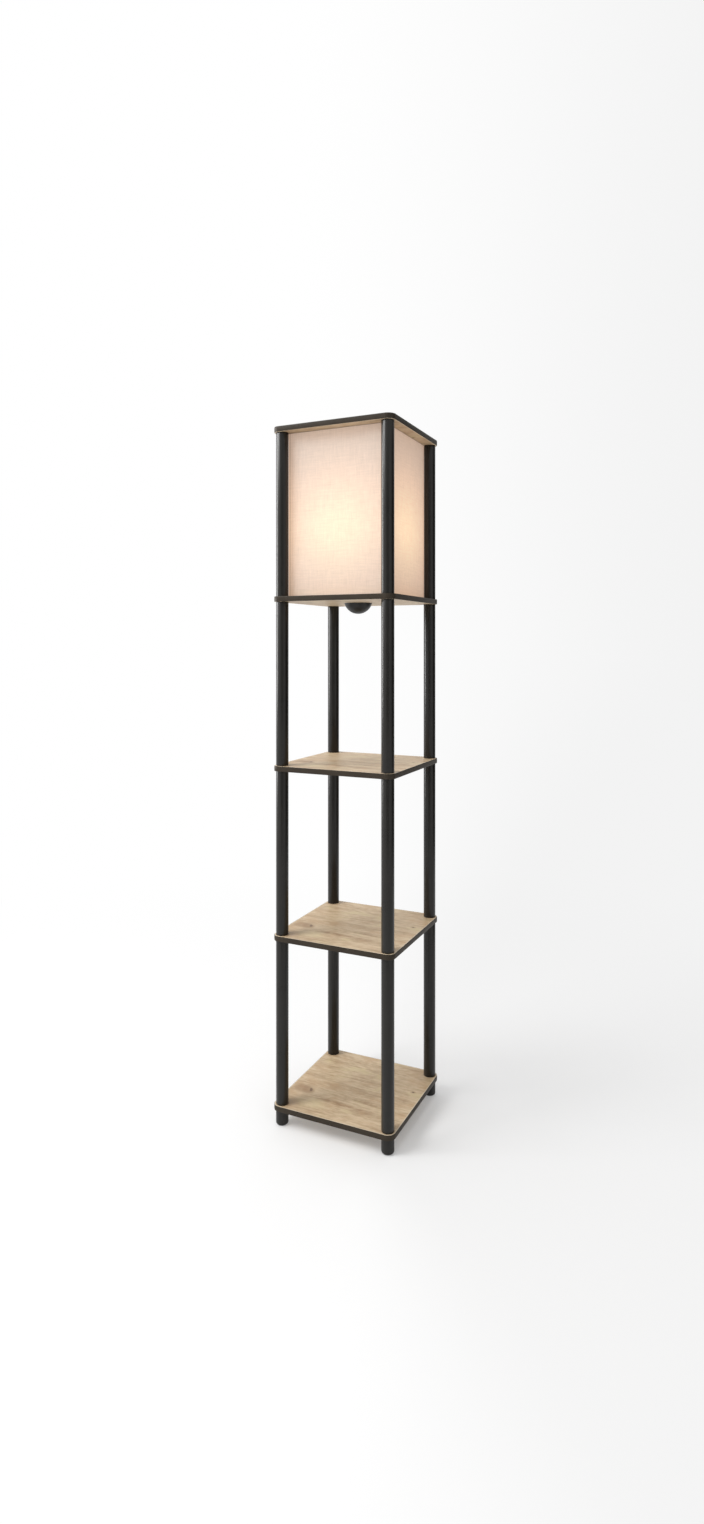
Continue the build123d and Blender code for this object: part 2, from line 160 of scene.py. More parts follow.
class StudioSettings(bpy.types.PropertyGroup):
    """The camera's place and the level of the studio's light."""

    camera_place: bpy.props.FloatVectorProperty(
        name="Camera", default=(0.8389, -1.8108, 1.1008), subtype="XYZ", unit="LENGTH",
        description="Where the camera stands",
    )
    camera_turn: bpy.props.FloatProperty(
        name="Camera turn", default=radians(25.16), subtype="ANGLE",
        description="Turn of the level camera about the vertical, from looking along +Y",
    )
    focal_pixels: bpy.props.FloatProperty(
        name="Focal length", default=840.3, subtype="PIXEL",
        description="Focal length of the camera, counted in the picture's pixels",
    )
    world_level: bpy.props.FloatProperty(
        name="World level", default=0.57, subtype="FACTOR",
        description="Strength of the white surroundings as light, where 1 is white",
    )
    left_power: bpy.props.FloatProperty(
        name="Left box", default=42.0, subtype="POWER",
        description="Power of the tall narrow box at the left, which only gloss shows",
    )
    front_power: bpy.props.FloatProperty(
        name="Front box", default=145.0, subtype="POWER",
        description="Power of the wide soft box high up at the front left",
    )
    top_power: bpy.props.FloatProperty(
        name="Top box", default=155.0, subtype="POWER",
        description="Power of the wide soft box far above the lamp",
    )


# --- shaders -------------------------------------------------------------------
def pick(sockets, key):
    """A node's socket by its number, or by its name among those in use."""
    if isinstance(key, int):
        return sockets[key]
    return next(socket for socket in sockets if socket.enabled and socket.name == key)


class Value:
    """A number or vector inside a shader. Sums written with it become Math nodes."""

    def __init__(self, finish, socket):
        self.finish = finish
        self.socket = socket

    def _maths(self, operation, *values):
        return self.finish.node("Math", {"operation": operation}, dict(enumerate(values)))

    def __add__(self, other):
        return self._maths("ADD", self, other)

    def __sub__(self, other):
        return self._maths("SUBTRACT", self, other)

    def __rsub__(self, other):
        return self._maths("SUBTRACT", other, self)

    def __mul__(self, other):
        return self._maths("MULTIPLY", self, other)

    def __truediv__(self, other):
        return self._maths("DIVIDE", self, other)

    def __rtruediv__(self, other):
        return self._maths("DIVIDE", other, self)

    def __pow__(self, other):
        return self._maths("POWER", self, other)

    __radd__ = __add__
    __rmul__ = __mul__

    def sine(self):
        return self._maths("SINE", self)

    def size(self):
        return self._maths("ABSOLUTE", self)

    def lesser(self, other):
        return self._maths("MINIMUM", self, other)

    def greater(self, other):
        return self._maths("MAXIMUM", self, other)

    def clipped(self):
        """Held between 0 and 1."""
        return self.finish.node("Clamp", inputs={"Value": self})

    def ramp(self, low, high, start=0.0, end=1.0):
        """start below low, end above high, and a smooth change between them."""
        return self.finish.node(
            "MapRange",
            {"interpolation_type": "SMOOTHSTEP"},
            {"Value": self, "From Min": low, "From Max": high, "To Min": start, "To Max": end},
            "Result",
        )

    def near(self, place, reach, soft):
        """1 within reach of a place, falling to 0 over a soft edge."""
        return (self - place).size().ramp(reach, reach + soft, 1.0, 0.0)


class Finish:
    """A procedural material, made node by node."""

    def __init__(self, name, **surface):
        self.material = bpy.data.materials.new(name)
        self.material.use_nodes = True
        self.tree = self.material.node_tree
        self.principled = self.tree.nodes["Principled BSDF"]
        self.surface(**surface)

    @classmethod
    def of_world(cls, world):
        """The nodes of the world's surface."""
        finish = cls.__new__(cls)
        world.use_nodes = True
        finish.tree = world.node_tree
        return finish

    def node(self, kind, settings=None, inputs=None, output=0):
        """Add a node, give it its settings and then its inputs, and return one output."""
        made = self.tree.nodes.new("ShaderNode" + kind)
        for name, value in (settings or {}).items():
            if name == "stops":
                self._set_stops(made.color_ramp, value)
            else:
                setattr(made, name, value)
        for name, value in (inputs or {}).items():
            self.feed(pick(made.inputs, name), value)
        return Value(self, pick(made.outputs, output))

    @staticmethod
    def _set_stops(ramp, stops):
        while len(ramp.elements) < len(stops):
            ramp.elements.new(1.0)
        for element, (place, colour) in zip(ramp.elements, stops):
            element.position = place
            element.color = (*colour, 1.0)

    def feed(self, socket, value):
        """Link a Value to a socket, or write a constant on it."""
        if isinstance(value, Value):
            self.tree.links.new(value.socket, socket)
        elif socket.type == "RGBA":
            socket.default_value = (*value, 1.0) if len(value) == 3 else value
        else:
            socket.default_value = value

    def surface(self, **inputs):
        """Set the main shader's sockets, named with underscores for spaces."""
        for name, value in inputs.items():
            title = name.replace("_", " ").title().replace("Ior", "IOR")
            self.feed(pick(self.principled.inputs, title), value)

    def place(self, scale=(1, 1, 1)):
        """Object coordinates, scaled."""
        coordinates = self.node("TexCoord", output="Object")
        return self.node("Mapping", inputs={"Vector": coordinates, "Scale": scale})

    def parts(self, vector):
        """The three numbers of a vector."""
        split = self.node("SeparateXYZ", inputs={"Vector": vector})
        return [Value(self, socket) for socket in split.socket.node.outputs]

    def vector(self, x=0.0, y=0.0, z=0.0):
        return self.node("CombineXYZ", inputs={"X": x, "Y": y, "Z": z})

    def vector_maths(self, operation, *vectors, output="Vector"):
        return self.node(
            "VectorMath", {"operation": operation}, dict(enumerate(vectors)), output
        )

    def noise(self, place, scale=1.0, detail=2.0, roughness=0.5):
        """Cloudy noise at a vector, or at a tuple of its numbers."""
        vector = self.vector(*place) if isinstance(place, tuple) else place
        return self.node(
            "TexNoise",
            inputs={"Vector": vector, "Scale": scale, "Detail": detail, "Roughness": roughness},
        )

    def grey(self, value):
        """A number as a grey colour."""
        return self.node("CombineColor", inputs={"Red": value, "Green": value, "Blue": value})

    def mix(self, factor, first, second, blend="MIX"):
        """first at factor 0, second at factor 1, as colours."""
        return self.node(
            "Mix",
            {"data_type": "RGBA", "blend_type": blend},
            {"Factor": factor, "A": first, "B": second},
            "Result",
        )

    def bump(self, height, distance, strength=1.0):
        self.surface(
            normal=self.node(
                "Bump", inputs={"Height": height, "Distance": distance, "Strength": strength}
            )
        )

    def seen_directly(self):
        """1 for what the camera sees, straight, mirrored or through glass; 0 for light."""
        kinds = ("Is Camera Ray", "Is Glossy Ray", "Is Transmission Ray")
        camera, glossy, through = (self.node("LightPath", output=kind) for kind in kinds)
        return (camera + glossy + through).clipped()


def scaled(colour, *shares):
    """A colour times one share, or times one for each of its channels."""
    return tuple(channel * share for channel, share in zip(colour, shares * 3))


def oval(x, y, half_width, half_height):
    """The square of the distance from a middle, 1 along an ellipse round it."""
    return (x / half_width) ** 2 + (y / half_height) ** 2


def pushed_aside(x, y):
    """Where a point lies across the grain, which is pushed aside round each knot."""
    # Each knot has its middle, its reach along the grain and how hard it pushes.
    knots = ((KNOT_X, KNOT_Y, 0.040, 0.016), (SMALL_KNOT_X, SMALL_KNOT_Y, 0.010, 0.003))
    across_grain = y
    for knot_x, knot_y, reach, push in knots:
        across = (y - knot_y) / (reach * 0.5)
        along = (x - knot_x) / reach
        nearness = 1 / (1 + across * across + along * along)
        across_grain = across_grain - nearness * nearness * across * push
    return across_grain


def stain_layers(x, y, ragged, mottle, pale, brown):
    """A pale patch, a stain left of the large knot, and the wavy streaks that run on below it."""
    ragged_x = x + ragged
    wavy_y = y + ((x * 23.0).sine() * 0.003 + ragged * 0.25)
    patch = ragged_x.near(-0.070, 0.004, 0.030) * y.near(-0.100, 0.004, 0.026)
    stain = ragged_x.near(-0.122, 0.002, 0.046) * (y - ragged).near(-0.056, 0.002, 0.038)
    foot = ragged_x.near(-0.124, 0.002, 0.034) * y.near(-0.116, 0.002, 0.026)
    streak = wavy_y.near(-0.082, 0.0005, 0.0110) * x.near(0.005, 0.030, 0.070)
    second = wavy_y.near(-0.046, 0.0008, 0.0140) * x.near(0.040, 0.012, 0.045)
    broken = mottle.ramp(0.35, 0.65, 0.25, 1.0)
    return [
        (patch * 0.60, pale),
        ((stain * 0.72 + foot * 0.62).clipped(), brown),
        ((streak * 0.80 + second * 0.60) * broken, brown),
    ]


def knot_layers(x, y, brown, heart):
    """Brown rings and dark hearts: a bent eye in the large knot, a round dot in the small one."""
    up = y - KNOT_Y
    leaning = up * up * 22.0 + up * 0.35
    ring = oval(x + 0.104 + leaning, y + 0.056, 0.016, 0.015)
    eye = oval(x - KNOT_X + leaning, up, 0.0040, 0.0075)
    small_x, small_y = x - SMALL_KNOT_X, y - SMALL_KNOT_Y
    small_ring = oval(small_x, small_y, 0.0085, 0.0055)
    dot = oval(small_x, small_y, 0.0034, 0.0028)
    return [
        (ring.ramp(0.2, 1.5, 0.55, 0.0), brown),
        (small_ring.ramp(0.2, 1.2, 0.40, 0.0), brown),
        (eye.ramp(0.25, 1.5, 0.80, 0.0), heart),
        (dot.ramp(0.35, 1.2, 0.90, 0.0), heart),
    ]


def from_outline(finish, x, y):
    """The distance from a board's outline, with its round corners."""
    flat = BOARD_EDGE - (CORNER_RADIUS - BAND_THICKNESS)
    past_flat = finish.vector((x.size() - flat).greater(0.0), (y.size() - flat).greater(0.0))
    return BOARD_EDGE - flat - finish.vector_maths("LENGTH", past_flat, output="Value")


def oak(light, dark, heart):
    """Oak veneer, grain along X: a knot in a stain at the left, a small one at the right."""
    finish = Finish("oak_veneer", specular_ior_level=0.42)
    x, y, _ = finish.parts(finish.place())
    drift = finish.noise((x * 5.0, y * 11.0), detail=3.0)
    ring = pushed_aside(x, y) + (drift - 0.5) * 0.022
    bands = finish.noise((x * 6.0, ring * 42.0), detail=3.0, roughness=0.55)
    grain = finish.noise((x * 16.0, ring * 210.0), detail=4.0, roughness=0.6)
    fibres = finish.noise((x * 45.0, ring * 700.0))
    pores = finish.noise((x * 70.0, ring * 1400.0, 3.0), detail=1.0).ramp(0.60, 0.72)
    patches = finish.noise((x * 13.0, y * 21.0, 6.0), detail=4.0, roughness=0.6)
    mottle = finish.noise((x * 55.0, ring * 110.0, 8.0), detail=3.0)
    tone = bands * 0.34 + grain * 0.30 + fibres * 0.15 + mottle * 0.21
    ragged = (drift - 0.5) * 0.09 + (patches - 0.5) * 0.05 + (grain - 0.5) * 0.02

    # Tints laid over the plain grain, each with its share. Along the board's outline the wood is
    # painted paler: a painted highlight of the edge.
    golden = scaled(light, 0.95, 1.00, 0.88)
    reddish = scaled(light, 0.76, 0.63, 0.52)
    brown = scaled(dark, 0.74, 0.64, 0.55)
    outline_highlight = (0.66, 0.57, 0.44)
    layers = [
        (patches.ramp(0.50, 0.68) * 0.60, reddish),
        (patches.ramp(0.47, 0.32) * 0.65, golden),
        *stain_layers(x, y, ragged, mottle, golden, brown),
        *knot_layers(x, y, brown, heart),
        (pores * 0.22, scaled(dark, 0.55)),
        # Painted highlight: paler wood within a few millimetres of the outline, on both faces.
        (from_outline(finish, x, y).ramp(0.0010, 0.0026, 0.80, 0.0), outline_highlight),
    ]
    colour = finish.mix(tone.ramp(0.39, 0.62), light, dark)
    for share, tint in layers:
        colour = finish.mix(share, colour, tint)

    finish.surface(base_color=colour, roughness=0.38 + tone * 0.18)
    finish.bump(1 - pores * 0.7 - fibres * 0.3, 0.00010, 0.5)
    return finish.material


def satin_black(name, colour, rough=0.29, specular=0.32, grain=900.0):
    """Powder coat or lacquer: an even fine grain under a satin gloss."""
    finish = Finish(name, specular_ior_level=specular)
    place = finish.place()
    peel = finish.noise(place, scale=grain)
    cloud = finish.noise(place, scale=14.0, detail=3.0)
    finish.surface(
        base_color=finish.mix(cloud.ramp(0.3, 0.7), scaled(colour, 0.90), scaled(colour, 1.12)),
        roughness=rough + (cloud - 0.5) * 0.08 + (peel - 0.5) * 0.05,
    )
    finish.bump(peel, 0.00004, 0.6)
    return finish.material


def woven(finish):
    """Fine threads both ways, with slubs in them: their relief, and the cloth's tone."""
    along, up, _ = finish.parts(finish.node("UVMap", {"uv_map": "Weave"}, output="UV"))
    thread_pitch = 0.0009
    turn = 2 * pi / thread_pitch
    weave = (along * turn).sine() * (up * turn).sine()
    slub_up = finish.noise((along * 800.0, up * 40.0))
    slub_along = finish.noise((along * 40.0, up * 800.0, 7.0))
    broad_up = finish.noise((along * 240.0, up * 18.0, 2.0))
    broad_along = finish.noise((along * 18.0, up * 240.0, 5.0))
    blotch = finish.noise((along * 70.0, up * 70.0, 9.0))
    threads = (slub_up + slub_along) * 0.5
    tone = 1 + (threads - 0.5) * 0.34 + (broad_up + broad_along - 1) * 0.13 + weave * 0.035
    return weave * 0.5 + threads, tone + (blotch - 0.5) * 0.08


def folded(x, y, z, seam_width):
    """How much of the light passes, and the painted shade in the cloth's colour: painted shadows of
    the frame's uprights near the corners and along both rims, a fainter dark line further in, darker
    lines at the hems' edges, a painted highlight on the corner strips, and less light where the
    cloth overlaps.
    """
    from_corner = FABRIC_HIGH.x - x.size().lesser(y.size())
    from_rim = (z - FABRIC_LOW.z).lesser(FABRIC_HIGH.z - z)
    # Painted shadow: a dark line where each frame upright shades the cloth near a corner, and a
    # fainter dark line further in. Painted shade: a darker line at each hem's edge, where the double
    # cloth also lets less light through, and a painted shadow right along both rims.
    fold = from_corner.near(0.0052, 0.0004, 0.0009)
    second_dark_line = from_corner.near(0.0105, 0.0003, 0.0009)
    hem_edge_shade = from_rim.near(0.0042, 0.0002, 0.0007)
    rim_shade = from_rim.ramp(0.0006, 0.0022, 1.0, 0.0)
    # Painted highlight: the corner strips beyond the uprights' shadows are a little lighter.
    strip = from_corner.ramp(0.0045, 0.0052, 1.0, 0.0)
    after_painted_shade = 1 - fold * 0.26 - second_dark_line * 0.05 - hem_edge_shade * 0.10 - rim_shade * 0.45

    # Where the cloth's ends overlap in the back panel, it is twice as thick and lets less light
    # through; its colour is darkened there too, as painted shade.
    from_seam = (x + FABRIC_HIGH.x - seam_width).size()
    overlap = from_seam.ramp(seam_width * 0.5, seam_width * 0.6, 1.0, 0.0) * y.ramp(0.10, 0.11)
    return after_painted_shade * (1 + strip * 0.05) * (1 - overlap * 0.20)


def bulb_glow(finish, z, colours, cloth):
    """Light through the cloth: weaker far from the bulb's centre, and below its diffuser."""
    distance = finish.vector_maths("DISTANCE", finish.place(), BULB_CENTRE, output="Value")
    stops = ((0.44, colours.glow_corner), (0.68, colours.glow_rim), (1.0, colours.glow_centre))
    glow = finish.node("ValToRGB", {"stops": stops}, {0: FABRIC_HIGH.x / distance}, "Color")
    above = ((z - BULB_CENTRE.z) / distance).ramp(-0.85, 0.15, 0.83, 1.0)
    return finish.mix(1.0, glow, finish.grey(cloth * above), "MULTIPLY")


def linen(colours, seam_width):
    """Taut linen, lit from inside by the bulb and from outside by the room."""
    finish = Finish("linen_lit", roughness=0.85, specular_ior_level=0.15, emission_strength=1.0)
    x, y, z = finish.parts(finish.place())
    relief, tone = woven(finish)
    # The cloth's tone carries folded()'s painted shade and highlight into its colour, as well as
    # into its glow.
    cloth = tone * folded(x, y, z, seam_width)
    finish.surface(
        base_color=finish.mix(1.0, colours.linen, finish.grey(cloth), "MULTIPLY"),
        emission_color=bulb_glow(finish, z, colours, cloth),
    )
    finish.bump(relief, 0.00025, 0.5)
    return finish.material


def bare_metal(name, colour, rough):
    """Plated or rolled metal with fine marks."""
    finish = Finish(name, metallic=1.0)
    marks = finish.noise(finish.place((1, 1, 14)), scale=60.0, detail=4.0)
    finish.surface(
        base_color=finish.mix(marks.ramp(0.35, 0.7), scaled(colour, 0.85), colour),
        roughness=rough + (marks - 0.5) * 0.18,
    )
    finish.bump(marks, 0.00003, 0.4)
    return finish.material


def moulded(name, colour, rough):
    """Smooth moulded plastic, ceramic or glass with a faint cloud in it."""
    finish = Finish(name)
    cloud = finish.noise(finish.place(), scale=320.0, detail=3.0)
    finish.surface(
        base_color=finish.mix(cloud, scaled(colour, 0.92), colour),
        roughness=rough + (cloud - 0.5) * 0.08,
    )
    finish.bump(cloud, 0.00004, 0.4)
    return finish.material


def lit_diffuser():
    """The bulb's opal half, lit, and paler towards its top."""
    finish = Finish("opal_diffuser_lit", roughness=0.45, base_color=(0.86, 0.82, 0.74))
    _, _, z = finish.parts(finish.place())
    height = (z - BULB_SEAM) / (BULB_CENTRE.z + BULB_RADIUS - BULB_SEAM)
    finish.surface(
        emission_color=finish.mix(height.ramp(0.0, 0.8), (1.0, 0.74, 0.46), (1.0, 0.86, 0.64)),
        emission_strength=1.5,
    )
    return finish.material


def diode_board():
    """A white board whose raised diodes are capped in yellow phosphor."""
    finish = Finish("diode_board")
    _, _, z = finish.parts(finish.place())
    cloud = finish.noise(finish.place(), scale=500.0)
    board_top = BULB_SEAM + 0.0017
    white = finish.mix(cloud, (0.78, 0.79, 0.78), (0.86, 0.86, 0.85))
    finish.surface(
        base_color=finish.mix(z.ramp(board_top, board_top + 0.0002), white, (0.85, 0.62, 0.12)),
        roughness=0.35 + cloud * 0.1,
    )
    return finish.material


# --- meshes --------------------------------------------------------------------
def add_piece(name, mesh, material, replaces=(), body=STAND):
    """Turn a bmesh into a piece of the lamp that rides on its body."""
    data = bpy.data.meshes.new(name)
    mesh.to_mesh(data)
    mesh.free()
    data.materials.append(material)
    for polygon in data.polygons:
        polygon.use_smooth = True
    data.set_sharp_from_angle(angle=SHARP_ANGLE)
    piece = bpy.data.objects.new(name, data)
    bpy.context.scene.collection.objects.link(piece)
    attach(piece, body)
    if replaces:
        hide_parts(*replaces)
    return piece


def dress(material, *nodes):
    """Give frame nodes a better material."""
    for node in nodes:
        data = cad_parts[node].data
        data.materials.clear()
        data.materials.append(material)


def close_up(mesh):
    """Merge what meets and turn every face outwards."""
    bmesh.ops.remove_doubles(mesh, verts=mesh.verts, dist=1e-6)
    bmesh.ops.recalc_face_normals(mesh, faces=mesh.faces)


def chain(mesh, points, closed=False):
    """Vertices along a line of points, joined by edges."""
    line = [mesh.verts.new(point) for point in points]
    edges = [mesh.edges.new(pair) for pair in zip(line, line[1:])]
    if closed:
        edges.append(mesh.edges.new((line[-1], line[0])))
    return line + edges


def lathe(outline, centre=(0.0, 0.0), steps=64, closed=True):
    """Spin an outline of (radius, height) points about the upright through centre."""
    mesh = bmesh.new()
    x, y = centre
    points = [(x + radius, y, height) for radius, height in outline]
    bmesh.ops.spin(
        mesh, geom=chain(mesh, points, closed), cent=(x, y, 0.0), axis=(0.0, 0.0, 1.0),
        angle=2 * pi, steps=steps, use_merge=True,
    )
    close_up(mesh)
    return mesh


def soften(mesh, width, segments=3, sharper=radians(35), edges=None):
    """Round the edges where faces meet at more than an angle."""
    chosen = edges or [
        edge for edge in mesh.edges if edge.is_manifold and edge.calc_face_angle() > sharper
    ]
    bmesh.ops.bevel(
        mesh, geom=chosen, offset=width, offset_type="OFFSET", segments=segments, profile=0.5,
        affect="EDGES", clamp_overlap=True, material=-1,
    )


def turned(outline, rounding=0.0, steps=64, segments=3):
    """A turned part: an outline spun, with its edges rounded."""
    mesh = lathe(outline, steps=steps)
    if rounding:
        soften(mesh, rounding, segments)
    return mesh


def plain_ring(inner, outer, low, high):
    """The outline of a plain ring, or of a rod where inner is 0."""
    return [(inner, low), (outer, low), (outer, high), (inner, high)]


def rod(node, low, high):
    """A plain round bar as thick as the posts, on a node's axis."""
    low_corner, high_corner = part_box(node)
    centre = (low_corner + high_corner).xy / 2
    return lathe(plain_ring(0.0, TUBE_RADIUS, low, high), centre, steps=72, closed=False)


def cuboid(sides, centre):
    """A box with upright walls."""
    mesh = bmesh.new()
    bmesh.ops.create_cube(mesh, size=1.0)
    bmesh.ops.scale(mesh, vec=sides, verts=mesh.verts)
    bmesh.ops.translate(mesh, vec=centre, verts=mesh.verts)
    return mesh


def arc(centre, radius, start, end, steps):
    """Points on an arc in the (radius, height) plane, angles from straight out."""
    angles = [start + (end - start) * step / steps for step in range(steps + 1)]
    x, y = centre
    return [(x + radius * cos(angle), y + radius * sin(angle)) for angle in angles]


def screw_tube(crest, depth, pitch, low, high, steps=40, points=6):
    """An open tube with a rounded screw thread, cut off square at both ends."""
    mesh = bmesh.new()
    section = []
    for point in range(points + 1):
        share = point / points
        radius = crest - depth * (1 - cos(2 * pi * share)) / 2
        section.append((radius, 0.0, low + pitch * (share - 1)))
    turns = ceil((high - low) / pitch) + 1
    bmesh.ops.spin(
        mesh, geom=chain(mesh, section), cent=(0.0, 0.0, 0.0), axis=(0.0, 0.0, 1.0),
        dvec=(0.0, 0.0, pitch / steps), angle=2 * pi * turns, steps=steps * turns,
    )
    bmesh.ops.remove_doubles(mesh, verts=mesh.verts, dist=2e-6)
    for height, side in ((low, -1), (high, 1)):
        bmesh.ops.bisect_plane(
            mesh, geom=mesh.verts[:] + mesh.edges[:] + mesh.faces[:], plane_co=(0, 0, height),
            plane_no=(0, 0, side), dist=1e-7, clear_outer=True,
        )

    # An open tube has no inside of its own, so a face is looked at to turn them all outwards.
    bmesh.ops.recalc_face_normals(mesh, faces=mesh.faces)
    mesh.faces.ensure_lookup_table()
    tested = mesh.faces[0]
    if tested.normal.xy.dot(tested.calc_center_median().xy) < 0:
        bmesh.ops.reverse_faces(mesh, faces=mesh.faces)
    return mesh


def gather(*meshes):
    """Closed shapes that make up one part, in one mesh."""
    whole = bmesh.new()
    for mesh in meshes:
        data = bpy.data.meshes.new("share")
        mesh.to_mesh(data)
        mesh.free()
        whole.from_mesh(data)
        bpy.data.meshes.remove(data)
    return whole


class LampOperator:
    """What the operators of this file share."""

    bl_options = {"REGISTER", "UNDO"}

    @property
    def sizes(self):
        return bpy.context.scene.lamp_sizes

    @property
    def colours(self):
        return bpy.context.scene.lamp_colours

    @property
    def studio(self):
        return bpy.context.scene.lamp_studio


# --- steps ---------------------------------------------------------------------
class LAMP_OT_camera(LampOperator, bpy.types.Operator):
    """Set the level camera that sees the lamp from its front right"""

    bl_idname = "lamp.camera"
    bl_label = "Camera"

    # The picture's size and the point straight ahead of the camera, in pixels from its corner.
    picture_width, picture_height = 704, 1524
    ahead_x, ahead_y = 353.8, 644.5
    sensor = 36.0

    def execute(self, context):
        camera = bpy.data.cameras.new("camera")
        camera.sensor_width = self.sensor
        camera.lens = self.studio.focal_pixels / self.picture_height * self.sensor
        camera.shift_x = (self.picture_width / 2 - self.ahead_x) / self.picture_height
        camera.shift_y = (self.ahead_y - self.picture_height / 2) / self.picture_height
        holder = bpy.data.objects.new("camera", camera)
        holder.location = self.studio.camera_place
        holder.rotation_euler = (pi / 2, 0.0, self.studio.camera_turn)
        context.scene.collection.objects.link(holder)
        context.scene.camera = holder
        return {"FINISHED"}


class LAMP_OT_boards(LampOperator, bpy.types.Operator):
    """Finish the five boards in oak veneer"""

    bl_idname = "lamp.boards"
    bl_label = "Boards"

    def execute(self, context):
        colours = self.colours
        dress(oak(colours.oak_light, colours.oak_dark, colours.oak_knot), *BOARDS)
        return {"FINISHED"}


class LAMP_OT_edge_bands(LampOperator, bpy.types.Operator):
    """Run a domed black band round the edge of each board"""

    bl_idname = "lamp.edge_bands"
    bl_label = "Edge bands"

    corner_steps = 14
    crown_steps = 6

    def execute(self, context):
        black = self.colours.band_black
        finish = satin_black("edge_band_black", black, rough=0.42, specular=0.10, grain=500.0)
        for board in BOARDS:
            node = board + "_edge_band"
            add_piece(node + "_domed", self.build(*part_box(node)), finish, [node])
        return {"FINISHED"}

    def section(self, low, high):
        """Half ring of (distance from the corner's axis, height) points, domed outside."""
        crown = BAND_THICKNESS / 2
        inner = CORNER_RADIUS - BAND_THICKNESS
        half = (high - low) / 2
        mid = (high + low) / 2
        domed = []
        for step in range(self.crown_steps + 1):
            share = -1 + 2 * step / self.crown_steps
            domed.append((CORNER_RADIUS - crown * share**2, mid + half * share))
        return [(inner, low)] + domed + [(inner, high)]

    def build(self, low, high):
        """Spin the section round each corner, and draw it along each side."""
        mesh = bmesh.new()
        axis = Vector((TUBE_OFFSET, -TUBE_OFFSET, 0.0))
        outline = self.section(low.z, high.z)
        points = [(axis.x, axis.y - radius, height) for radius, height in outline]
        section = chain(mesh, points, closed=True)
        for corner in range(4):
            spun = bmesh.ops.spin(
                mesh, geom=section, cent=axis, axis=(0, 0, 1), angle=pi / 2, steps=self.corner_steps
            )["geom_last"]
            edges = [item for item in spun if isinstance(item, BMEdge)]
            drawn = bmesh.ops.extrude_edge_only(mesh, edges=edges)["geom"]
            along = Matrix.Rotation(corner * pi / 2, 3, "Z") @ Vector((0, 2 * TUBE_OFFSET, 0))
            moved = [item for item in drawn if isinstance(item, BMVert)]
            bmesh.ops.translate(mesh, verts=moved, vec=along)
            axis = axis + along
            section = moved + [item for item in drawn if isinstance(item, BMEdge)]
        close_up(mesh)
        soften(mesh, self.sizes.band_round, segments=2, sharper=radians(50))
        return mesh


class LAMP_OT_posts(LampOperator, bpy.types.Operator):
    """Build the sixteen tubes of the four posts, powder coated"""

    bl_idname = "lamp.posts"
    bl_label = "Posts"

    def execute(self, context):
        finish = satin_black("post_powder_coat", self.colours.post_black)
        for bay, below, above in zip(BAYS, BOARDS, BOARDS[1:]):
            bottom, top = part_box(below)[1].z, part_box(above)[0].z
            for corner in CORNERS:
                node = f"{bay}_tube_{corner}"
                mesh = rod(node, bottom, top)
                soften(mesh, self.sizes.tube_end_round)
                add_piece(node + "_coated", mesh, finish, [node])
        return {"FINISHED"}


class LAMP_OT_feet(LampOperator, bpy.types.Operator):
    """Build the four rounded feet"""

    bl_idname = "lamp.feet"
    bl_label = "Feet"

    def execute(self, context):
        finish = satin_black("foot_plastic", self.colours.post_black, 0.42, grain=700.0)
        for corner in CORNERS:
            node = "foot_" + corner
            low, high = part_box(node)
            mesh = rod(node, low.z, high.z)
            sole = [
                edge
                for edge in mesh.edges
                if edge.calc_face_angle(0.0) > radians(60) and edge.verts[0].co.z < high.z / 2
            ]
            soften(mesh, self.sizes.foot_round, segments=8, edges=sole)
            add_piece(node + "_rounded", mesh, finish, [node])
        return {"FINISHED"}


